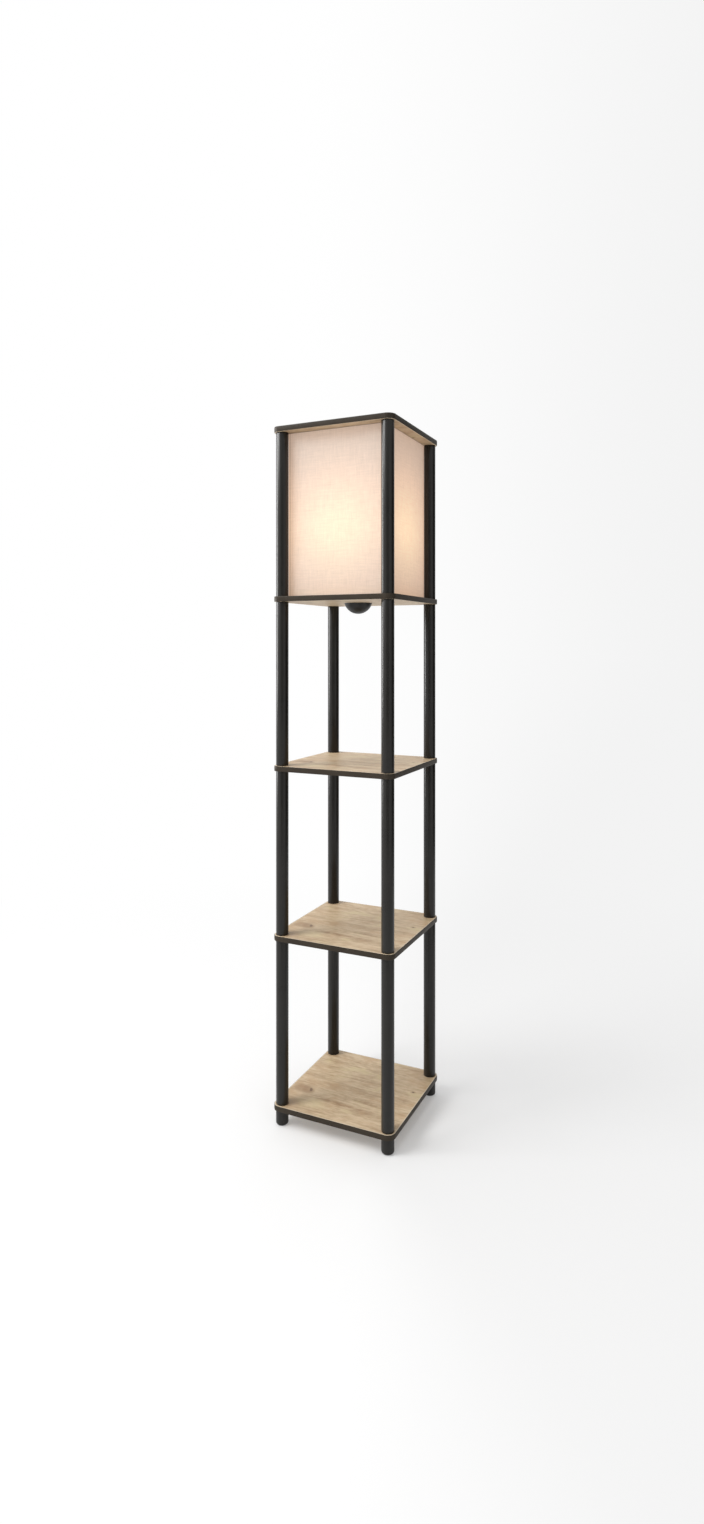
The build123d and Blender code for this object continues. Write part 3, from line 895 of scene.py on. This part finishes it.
class LAMP_OT_shade(LampOperator, bpy.types.Operator):
    """Stretch the linen round its frame, with a hem at both rims and a seam at the back"""

    bl_idname = "lamp.shade"
    bl_label = "Shade"

    corner_radius = 0.0025
    thickness = 0.0008
    rows = 48
    columns = 30
    waves_across, waves_up = 9, 4
    ripple = 0.00035
    pull_in = 0.0002
    hem_columns = 4

    def execute(self, context):
        cloth = linen(self.colours, self.sizes.seam_width)
        shade = add_piece("shade_linen", self.build_walls(), cloth, ["shade_fabric"])
        trims = {
            "shade_hem_top": self.build_hem(FABRIC_HIGH.z - self.sizes.hem_width),
            "shade_hem_bottom": self.build_hem(FABRIC_LOW.z),
            "shade_seam": self.build_seam(),
        }
        trimmings = [add_piece(name, mesh, cloth) for name, mesh in trims.items()]
        dress(moulded("frame_lacquer", (0.78, 0.76, 0.71), 0.4), "shade_frame")
        return {"FINISHED"}

    @staticmethod
    def uprights(mesh):
        """The edges that run up a sleeve."""
        return [
            edge for edge in mesh.edges if abs(edge.verts[0].co.z - edge.verts[1].co.z) > 1e-4
        ]

    def sleeve(self, bottom, top, side, rows, columns):
        """An open square sleeve with rounded corners, in even rows and columns."""
        mesh = cuboid((side, side, top - bottom), (0, 0, (top + bottom) / 2))
        ends = [face for face in mesh.faces if abs(face.normal.z) > 0.5]
        bmesh.ops.delete(mesh, geom=ends, context="FACES_ONLY")
        corners = self.uprights(mesh)
        level = [edge for edge in mesh.edges if edge not in corners]
        bmesh.ops.subdivide_edges(mesh, edges=level, cuts=columns, use_grid_fill=True)
        corners = [
            edge
            for edge in self.uprights(mesh)
            if all(abs(abs(place) - side / 2) < 1e-5 for place in edge.verts[0].co.xy)
        ]
        soften(mesh, self.corner_radius, segments=6, edges=corners)
        if rows:
            upright = self.uprights(mesh)
            bmesh.ops.subdivide_edges(mesh, edges=upright, cuts=rows, use_grid_fill=True)
        close_up(mesh)
        return mesh

    @staticmethod
    def add_weave_map(mesh):
        """A map in metres: along the cloth, and up it."""
        layer = mesh.loops.layers.uv.new("Weave")
        for face in mesh.faces:
            across = 0 if abs(face.normal.y) > abs(face.normal.x) else 1
            for loop in face.loops:
                loop[layer].uv = (loop.vert.co[across], loop.vert.co.z)

    def build_walls(self):
        """The four walls, taut, with the slight waves of stretched cloth."""
        half = FABRIC_HIGH.x
        mesh = self.sleeve(FABRIC_LOW.z, FABRIC_HIGH.z, 2 * half, self.rows, self.columns)
        for vert in mesh.verts:
            x, y, z = vert.co
            free = 1 - (min(abs(x), abs(y)) / half) ** 4
            place = Vector((x * self.waves_across, y * self.waves_across, z * self.waves_up))
            move = noise.noise(place) * self.ripple - self.pull_in
            vert.co += Vector((x, y, 0)).normalized() * free * move
        self.add_weave_map(mesh)
        bmesh.ops.solidify(mesh, geom=mesh.faces, thickness=self.thickness)
        return mesh

    def build_hem(self, bottom):
        """The folded edge: a strip of the same cloth, standing a little proud."""
        rise = self.sizes.hem_rise
        side = 2 * (FABRIC_HIGH.x + rise)
        mesh = self.sleeve(bottom, bottom + self.sizes.hem_width, side, 0, self.hem_columns)
        self.add_weave_map(mesh)
        bmesh.ops.solidify(mesh, geom=mesh.faces, thickness=rise)
        soften(mesh, rise * 0.4, segments=2, sharper=radians(70))
        return mesh

    def build_seam(self):
        """The overlap where the cloth's ends are glued, in the back panel."""
        rise, width = self.sizes.hem_rise, self.sizes.seam_width
        height = FABRIC_HIGH.z - FABRIC_LOW.z - 2 * self.sizes.hem_width
        mid_height = (FABRIC_HIGH.z + FABRIC_LOW.z) / 2
        centre = (width - FABRIC_HIGH.x, FABRIC_HIGH.y + rise / 2, mid_height)
        mesh = cuboid((width, rise, height), centre)
        soften(mesh, rise * 0.4, segments=2, sharper=radians(70))
        self.add_weave_map(mesh)
        return mesh


class LAMP_OT_dome(LampOperator, bpy.types.Operator):
    """Build the black dome under the lamp floor, with a cable gland in its back"""

    bl_idname = "lamp.dome"
    bl_label = "Dome"

    wall = 0.001
    rings = 28
    steps = 96
    hole_sides = 24
    gland_steps = 48
    gland_rounding = 0.0007
    gland_neck_radius = 0.005
    gland_bore_radius = 0.0035
    gland_waist = 0.0015

    def execute(self, context):
        black = satin_black("dome_lacquer", self.colours.post_black, 0.36)
        add_piece("dome_smooth", self.build_dome(), black, ["dome_cover"])
        rubber = moulded("gland_rubber", (0.022, 0.022, 0.022), 0.6)
        add_piece("gland_moulded", self.build_gland(), rubber, ["cable_gland"])
        dress(bare_metal("spring_steel", (0.35, 0.35, 0.36), 0.35), "dome_spider")
        return {"FINISHED"}

    def sphere(self):
        """The height of the dome's centre, and its outer radius."""
        low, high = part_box("dome_cover")
        rim, depth = high.x, high.z - low.z
        radius = (rim**2 + depth**2) / (2 * depth)
        return low.z + radius, radius

    def gland_height(self):
        low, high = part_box("cable_gland")
        return (low.z + high.z) / 2

    def build_dome(self):
        """A thin dome, whose inner wall ends level with the rim of the outer one."""
        rim_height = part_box("dome_cover")[1].z
        centre, radius = self.sphere()
        lip = -asin((centre - rim_height) / radius)
        outside = arc((0.0, centre), radius, -pi / 2, lip, self.rings)
        inside = arc((0.0, centre), radius - self.wall, lip, -pi / 2, self.rings)
        inside[0] = (inside[0][0], rim_height)
        mesh = lathe(outside + inside, steps=self.steps, closed=False)
        self.cut_hole(mesh)
        return mesh

    def cut_hole(self, mesh):
        """Cut a round hole for the gland through the back of the dome, and line it."""
        reach = self.gland_neck_radius
        axis = Vector((0, 0, self.gland_height()))
        angles = [2 * pi * side / self.hole_sides for side in range(self.hole_sides)]
        sides = [Vector((cos(angle), 0, sin(angle))) for angle in angles]
        for side in sides:
            close = [
                face
                for face in mesh.faces
                if face.calc_center_median().y > 0
                and (face.calc_center_median() - axis).xz.length < 2 * reach
            ]
            edges = {edge for face in close for edge in face.edges}
            verts = {vert for face in close for vert in face.verts}
            bmesh.ops.bisect_plane(
                mesh, geom=close + list(edges) + list(verts), plane_co=axis + side * reach,
                plane_no=side, dist=1e-7,
            )
        within = [
            face
            for face in mesh.faces
            if face.calc_center_median().y > 0
            and all((face.calc_center_median() - axis).dot(side) < reach for side in sides)
        ]
        bmesh.ops.delete(mesh, geom=within, context="FACES")
        rims = [edge for edge in mesh.edges if edge.is_boundary]
        bmesh.ops.bridge_loops(mesh, edges=rims)
        bmesh.ops.recalc_face_normals(mesh, faces=mesh.faces)

    def build_gland(self):
        """A rubber bush: a neck through the dome's wall and a rounded collar outside."""
        low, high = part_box("cable_gland")
        collar = (high.x - low.x) / 2
        centre, radius = self.sphere()
        wall_at = sqrt(radius**2 - (centre - self.gland_height()) ** 2)
        bore, neck = self.gland_bore_radius, self.gland_neck_radius
        outline = [
            (bore, low.y), (neck, low.y), (neck, wall_at), (collar, wall_at - self.gland_waist),
            (collar, high.y), (bore, high.y),
        ]
        mesh = turned(outline, self.gland_rounding, self.gland_steps)
        lying = Matrix.Rotation(-pi / 2, 3, "X")
        bmesh.ops.rotate(mesh, cent=(0, 0, 0), matrix=lying, verts=mesh.verts)
        bmesh.ops.translate(mesh, vec=(0, 0, self.gland_height()), verts=mesh.verts)
        return mesh


class LAMP_OT_fixings(LampOperator, bpy.types.Operator):
    """Cut the pipe's thread, round its washer, and finish its nuts and the top bolts"""

    bl_idname = "lamp.fixings"
    bl_label = "Fixings"

    bore_radius = 0.0035
    thread_depth = 0.0005
    washer_bore = 0.0053
    washer_rounding = 0.0002

    def execute(self, context):
        dress(bare_metal("blackened_steel", (0.06, 0.06, 0.06), 0.38), "top_board_bolts")
        zinc = bare_metal("zinc_plate", (0.55, 0.55, 0.56), 0.32)
        add_piece("pipe_cut_thread", self.build_pipe(), zinc, ["threaded_pipe"])
        low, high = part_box("pipe_washer")
        outline = plain_ring(self.washer_bore, high.x, low.z, high.z)
        washer = turned(outline, self.washer_rounding, steps=48, segments=2)
        add_piece("pipe_washer_stamped", washer, zinc, ["pipe_washer"])
        dress(zinc, "pipe_nuts")
        return {"FINISHED"}

    def build_pipe(self):
        """A pipe with a screw outside and a smooth bore."""
        low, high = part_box("threaded_pipe")
        pitch = self.sizes.pipe_screw_pitch
        screw = screw_tube(high.x, self.thread_depth, pitch, low.z, high.z, steps=24, points=4)
        core = turned(
            plain_ring(self.bore_radius, high.x - self.thread_depth, low.z, high.z), steps=32
        )
        bmesh.ops.solidify(screw, geom=screw.faces, thickness=self.thread_depth)
        return gather(screw, core)


class LAMP_OT_holder(LampOperator, bpy.types.Operator):
    """Turn the lamp holder's neck, cup and ribbed sleeve, and roll its screw shell"""

    bl_idname = "lamp.holder"
    bl_label = "Lamp holder"

    neck_radius = 0.008
    neck_bore = 0.0053
    neck_rounding = 0.0008
    flange_height = 0.003
    root_height = 0.007
    cup_base_radius = 0.012
    cup_base_height = 0.006
    cup_floor = 0.004
    cup_rounding = 0.0006
    spigot_height = 0.004
    spigot_radius = 0.017
    spigot_bore = 0.015
    pipe_radius = 0.005
    mouth_radius = 0.0146
    mouth_height = 0.032
    sleeve_rounding = 0.0009
    rib_count = 36
    rib_depth = 0.0005
    rib_fade = 0.0015
    plain_below_ribs, plain_above_ribs = 0.006, 0.010
    shell_wall = 0.0005
    shell_sheet = 0.0003
    shell_thread = 0.0004
    shell_opening = 0.009

    def execute(self, context):
        black = satin_black("neck_lacquer", self.colours.post_black)
        phenolic = moulded("phenolic", (0.025, 0.024, 0.023), 0.3)
        brass = bare_metal("brass", (0.70, 0.50, 0.22), 0.3)
        add_piece("neck_turned", self.build_neck(), black, ["holder_neck"])
        add_piece("cup_moulded", self.build_cup(), phenolic, ["holder_cup"])
        add_piece("sleeve_ribbed", self.build_sleeve(), phenolic, ["holder_sleeve"])
        add_piece("shell_rolled", self.build_shell(), brass, ["screw_shell"])
        dress(moulded("steatite", (0.82, 0.81, 0.78), 0.7), "contact_carrier")
        dress(brass, "terminal_screws", "centre_contact")
        return {"FINISHED"}

    def build_neck(self):
        """A tube on a flange, with a sloping root between them."""
        low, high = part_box("holder_neck")
        flange_top = low.z + self.flange_height
        root = self.neck_radius + self.root_height - self.flange_height
        outline = [
            (self.neck_bore, low.z), (high.x, low.z), (high.x, flange_top), (root, flange_top),
            (self.neck_radius, low.z + self.root_height), (self.neck_radius, high.z),
            (self.neck_bore, high.z),
        ]
        return turned(outline, self.neck_rounding)

    def build_cup(self):
        """A cup on the pipe, with a spigot that the sleeve fits."""
        low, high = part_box("holder_cup")
        rim, floor = high.z - self.spigot_height, low.z + self.cup_floor
        outline = [
            (self.pipe_radius, low.z), (self.cup_base_radius, low.z),
            (high.x, low.z + self.cup_base_height), (high.x, rim),
            (self.spigot_radius, rim), (self.spigot_radius, high.z),
            (self.spigot_bore, high.z), (self.spigot_bore, floor), (self.pipe_radius, floor),
        ]
        return turned(outline, self.cup_rounding)

    def build_sleeve(self):
        """The sleeve, with grip ribs pressed into its middle."""
        low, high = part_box("holder_sleeve")
        mouth = high.z - self.mouth_height
        ribs_low, ribs_high = low.z + self.plain_below_ribs, high.z - self.plain_above_ribs
        fade = self.rib_fade
        heights = (low.z, ribs_low, ribs_low + fade, ribs_high - fade, ribs_high, high.z)
        outline = [(self.spigot_radius, low.z)]
        outline += [(high.x, height) for height in heights]
        outline += [(self.mouth_radius, high.z), (self.mouth_radius, mouth)]
        outline.append((self.spigot_radius, mouth))
        mesh = turned(outline, self.sleeve_rounding, steps=4 * self.rib_count)
        for vert in mesh.verts:
            x, y, z = vert.co
            outside = x * x + y * y > (high.x - 1e-5) ** 2
            if outside and ribs_low + fade / 2 < z < ribs_high - fade / 2:
                pressed = (1 - cos(self.rib_count * atan2(y, x))) / 2
                vert.co.xy *= 1 - pressed * self.rib_depth / high.x
        return mesh

    def build_shell(self):
        """The brass shell that the bulb screws into: a rolled thread on a flat floor."""
        low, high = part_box("screw_shell")
        pitch = self.sizes.bulb_screw_pitch
        floor_top, core = low.z + self.shell_wall, high.x - self.shell_thread
        tube = screw_tube(high.x, self.shell_thread, pitch, floor_top, high.z)
        bmesh.ops.solidify(tube, geom=tube.faces, thickness=self.shell_sheet)
        floor = turned(plain_ring(self.shell_opening, core, low.z, floor_top), steps=40)
        return gather(tube, floor)


class LAMP_OT_bulb(LampOperator, bpy.types.Operator):
    """Build the bulb: a rolled cap, glass bead, tip, body, and a lit opal diffuser"""

    bl_idname = "lamp.bulb"
    bl_label = "Bulb"

    bead_top_radius = 0.0115
    bead_rounding = 0.0004
    cap_radius = 0.0131
    cap_wall = 0.0004
    cap_thread = 0.0007
    cap_floor_height = 0.002
    skirt_height = 0.003
    tip_crown = 0.6
    tip_steps = 5
    diffuser_wall = 0.0012
    diffuser_steps = 32
    body_steps = 24
    steps = 80

    def execute(self, context):
        nickel = bare_metal("nickel_plate", (0.72, 0.72, 0.73), 0.25)
        white = moulded("bulb_body_white", (0.84, 0.84, 0.82), 0.35)
        glass = moulded("glass_bead", (0.02, 0.02, 0.03), 0.15)
        self.add("cap_rolled", self.build_cap(), "bulb_cap", nickel, "bulb_cap")
        self.add("tip_soldered", self.build_tip(), "bulb_cap", nickel, "bulb_tip_contact")
        self.add("bead_fused", self.build_bead(), "bulb_bead", glass, "bulb_insulator")
        self.add("body_moulded", self.build_body(), "bulb_body", white, "bulb_body")
        self.add("diffuser_opal", self.build_diffuser(), "diffuser", lit_diffuser(), "bulb_diffuser")
        dress(diode_board(), "led_board")
        return {"FINISHED"}

    def add(self, name, mesh, slot, material, node):
        add_piece(name, mesh, material, [node], body=BULB)

    def build_tip(self):
        """A drop of solder: flat above, crowned below."""
        low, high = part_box("bulb_tip_contact")
        crown = (high.z - low.z) * self.tip_crown
        outline = [(0.0, high.z), (high.x, high.z), (high.x, low.z + crown)]
        for step in range(1, self.tip_steps + 1):
            angle = step / self.tip_steps * pi / 2
            outline.append((high.x * cos(angle), low.z + crown * (1 - sin(angle))))
        return lathe(outline, steps=40, closed=False)

    def build_bead(self):
        """The glass cone between the tip and the cap."""
        low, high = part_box("bulb_insulator")
        tip_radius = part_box("bulb_tip_contact")[1].x
        outline = [(0.0, low.z), (tip_radius, low.z), (self.bead_top_radius, high.z), (0.0, high.z)]
        mesh = lathe(outline, steps=48, closed=False)
        soften(mesh, self.bead_rounding)
        return mesh

    def build_cap(self):
        """The screw cap: a closed bottom, a rolled thread and a plain skirt."""
        low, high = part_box("bulb_cap")
        skirt_low = high.z - self.skirt_height
        thread_low = low.z + self.cap_floor_height
        wall, core, bead = self.cap_wall, self.cap_radius - self.cap_thread, self.bead_top_radius
        pitch = self.sizes.bulb_screw_pitch
        tube = screw_tube(self.cap_radius, self.cap_thread, pitch, thread_low, skirt_low)
        bmesh.ops.solidify(tube, geom=tube.faces, thickness=wall)
        outline = [
            (0.0, low.z), (bead, low.z), (core, thread_low),
            (core - wall, thread_low), (bead - wall, low.z + wall), (0.0, low.z + wall),
        ]
        bottom = lathe(outline, steps=self.steps, closed=False)
        flare_top = skirt_low + high.x - self.cap_radius
        outline = [
            (core, skirt_low), (high.x, flare_top), (high.x, high.z),
            (high.x - wall, high.z), (high.x - wall, flare_top), (core - wall, skirt_low),
        ]
        skirt = lathe(outline, steps=self.steps)
        return gather(tube, bottom, skirt)

    def build_body(self):
        """The white body, swelling from the cap's skirt to the seam under the diffuser."""
        cap_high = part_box("bulb_cap")[1]
        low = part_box("bulb_body")[0].z
        neck = cap_high.x - self.cap_wall
        drop = BULB_CENTRE.z - BULB_SEAM
        seam_radius = sqrt(BULB_RADIUS**2 - drop**2)
        reach = (BULB_SEAM - cap_high.z) / 3
        start, end = Vector((neck, cap_high.z)), Vector((seam_radius, BULB_SEAM))
        slope = Vector((drop, seam_radius)) / BULB_RADIUS
        curve = geometry.interpolate_bezier(
            start, start + Vector((0, reach)), end - slope * reach, end, self.body_steps
        )
        outline = [(0.0, low), (self.cap_radius - self.cap_wall, low)]
        outline.append((neck, low + cap_high.x - self.cap_radius))
        outline += [tuple(point) for point in curve] + [(0.0, BULB_SEAM)]
        return lathe(outline, steps=self.steps, closed=False)

    def build_diffuser(self):
        """A thin opal dome, closed along the seam."""
        drop, centre = BULB_CENTRE.z - BULB_SEAM, (0.0, BULB_CENTRE.z)
        inner = BULB_RADIUS - self.diffuser_wall
        outside = arc(centre, BULB_RADIUS, -asin(drop / BULB_RADIUS), pi / 2, self.diffuser_steps)
        inside = arc(centre, inner, pi / 2, -asin(drop / inner), self.diffuser_steps)
        return lathe(outside + inside + [outside[0]], steps=self.steps, closed=False)


class LAMP_OT_stage(LampOperator, bpy.types.Operator):
    """Lay an endless white floor and light the lamp softly from the front left and above"""

    bl_idname = "lamp.stage"
    bl_label = "Studio"

    # The backdrop is white at the left of the camera's axis and a little grey at its right: painted
    # shade, where the studio's light falls off.
    grey_from, grey_to = -0.08, 0.42
    right_shade_grey = 0.895
    floor_grey = 0.79
    floor_reach = 60.0

    # The share of the lit floor that is kept falls from lit_near, up to shadow_near from the
    # lamp's axis, to lit_edge at shadow_edge, and to none at shadow_end.
    shadow_near, shadow_edge, shadow_end = 0.10, 0.40, 2.2
    lit_near, lit_edge = 0.80, 0.40

    # Each box has a place, an aim and sides, and lights matt surfaces too or only glossy ones.
    boxes = {
        "left": ((-1.95, -0.47, 1.55), (0.0, 0.0, 1.20), (0.65, 1.7), False),
        "front": ((-2.45, -2.25, 3.55), (0.0, 0.0, 0.90), (2.0, 2.0), True),
        "top": ((-0.50, -0.20, 7.00), (0.0, 0.0, 0.00), (3.5, 3.5), True),
    }
    # Each card has a place, an aim, sides and a grey level.
    cards = {
        "right_card": ((1.75, 1.15, 1.2), (0.0, 0.0, 1.0), (2.6, 2.6), 0.01),
        "front_card": ((1.2, -3.2, 1.4), (0.0, 0.0, 1.0), (3.0, 3.0), 0.30),
    }

    def execute(self, context):
        scene = context.scene
        scene.view_settings.view_transform = "Standard"
        self.build_world(scene)
        self.build_floor(scene)
        for name, settings in self.boxes.items():
            self.add_box(scene, name + "_box", getattr(self.studio, name + "_power"), *settings)
        for name, settings in self.cards.items():
            self.add_card(scene, name, *settings)
        return {"FINISHED"}

    def add_box(self, scene, name, power, place, aim, sides, lights_matt):
        """A soft box: a lit rectangle that faces a point."""
        light = bpy.data.lights.new(name, "AREA")
        light.shape = "RECTANGLE"
        light.size, light.size_y = sides
        light.energy = power
        box = bpy.data.objects.new(name, light)
        box.location = place
        box.rotation_euler = (Vector(aim) - box.location).to_track_quat("-Z", "Y").to_euler()
        box.visible_diffuse = lights_matt
        scene.collection.objects.link(box)

    def add_card(self, scene, name, place, aim, sides, level):
        """A dark card that shows only in reflections, and keeps them dark on that side."""
        mesh = bmesh.new()
        bmesh.ops.create_grid(mesh, x_segments=1, y_segments=1, size=0.5)
        bmesh.ops.scale(mesh, vec=(*sides, 1.0), verts=mesh.verts)
        turn = (Vector(aim) - Vector(place)).to_track_quat("-Z", "Y").to_matrix()
        bmesh.ops.rotate(mesh, cent=(0, 0, 0), matrix=turn, verts=mesh.verts)
        bmesh.ops.translate(mesh, vec=place, verts=mesh.verts)
        card = self.add_stage_piece(scene, name, mesh)
        card.visible_camera = False
        card.visible_shadow = False
        card.visible_diffuse = False
        dark = Finish(name, base_color=(level,) * 3, roughness=0.9, specular_ior_level=0.0)
        card.data.materials.append(dark.material)

    def add_stage_piece(self, scene, name, mesh):
        data = bpy.data.meshes.new(name)
        mesh.to_mesh(data)
        mesh.free()
        piece = bpy.data.objects.new(name, data)
        scene.collection.objects.link(piece)
        return piece

    def backdrop_with_painted_shade(self, finish, direction):
        """White, greyed towards the right of the camera's axis by painted shade."""
        turn = self.studio.camera_turn
        unit = finish.vector_maths("NORMALIZE", direction)
        right = finish.vector_maths("DOT_PRODUCT", unit, (cos(turn), sin(turn), 0), output="Value")
        return finish.grey(right.ramp(self.grey_from, self.grey_to, 1.0, self.right_shade_grey))

    def build_world(self, scene):
        """White where the camera looks, greyed towards its right by painted shade, and a weaker even
        light for everything else.
        """
        world = bpy.data.worlds.new("studio")
        finish = Finish.of_world(world)
        background = finish.tree.nodes["Background"]
        direction = finish.node("TexCoord", output="Generated")
        level = self.studio.world_level
        finish.feed(background.inputs["Color"], self.backdrop_with_painted_shade(finish, direction))
        finish.feed(background.inputs["Strength"], finish.seen_directly() * (1 - level) + level)
        scene.world = world

    def build_floor(self, scene):
        """A floor that keeps the lamp's shadow and turns into the white backdrop far off."""
        mesh = bmesh.new()
        bmesh.ops.create_grid(mesh, x_segments=1, y_segments=1, size=self.floor_reach)
        floor = self.add_stage_piece(scene, "floor", mesh)
        finish = Finish("floor_white", base_color=(self.floor_grey,) * 3, roughness=0.8)
        place = finish.place()
        away = finish.vector_maths("LENGTH", place, output="Value")
        kept = away.ramp(self.shadow_near, self.shadow_edge, self.lit_near, self.lit_edge)
        kept = kept * away.ramp(self.shadow_edge, self.shadow_end, 1.0, 0.0)
        share = finish.seen_directly() * (1 - kept)
        white = finish.node("Emission", inputs={"Color": self.backdrop_with_painted_shade(finish, place)})
        lit = Value(finish, finish.principled.outputs[0])
        mixed = finish.node("MixShader", inputs={0: share, 1: lit, 2: white})
        finish.feed(finish.tree.nodes["Material Output"].inputs["Surface"], mixed)
        floor.data.materials.append(finish.material)


class LAMP_PT_panel(bpy.types.Panel):
    """Sizes, colours and steps of the lamp"""

    bl_label = "Shelf floor lamp"
    bl_idname = "LAMP_PT_panel"
    bl_space_type = "VIEW_3D"
    bl_region_type = "UI"
    bl_category = "Lamp"

    def draw(self, context):
        for group in GROUPS:
            settings = getattr(context.scene, group)
            box = self.layout.box()
            for name in settings.__annotations__:
                box.prop(settings, name)
        column = self.layout.column()
        for step in STEPS:
            column.operator(step.bl_idname)


GROUPS = {"lamp_sizes": LampSizes, "lamp_colours": LampColours, "lamp_studio": StudioSettings}
STEPS = (
    LAMP_OT_camera,
    LAMP_OT_boards,
    LAMP_OT_edge_bands,
    LAMP_OT_posts,
    LAMP_OT_feet,
    LAMP_OT_shade,
    LAMP_OT_dome,
    LAMP_OT_fixings,
    LAMP_OT_holder,
    LAMP_OT_bulb,
    LAMP_OT_stage,
)


def register():
    for name, group in GROUPS.items():
        bpy.utils.register_class(group)
        setattr(bpy.types.Scene, name, bpy.props.PointerProperty(type=group))
    for step in (*STEPS, LAMP_PT_panel):
        bpy.utils.register_class(step)


def unregister():
    for step in reversed((*STEPS, LAMP_PT_panel)):
        bpy.utils.unregister_class(step)
    for name, group in reversed(GROUPS.items()):
        delattr(bpy.types.Scene, name)
        bpy.utils.unregister_class(group)


def main():
    register()
    for step in STEPS:
        area, name = step.bl_idname.split(".")
        getattr(getattr(bpy.ops, area), name)()


if __name__ == "__main__":
    main()
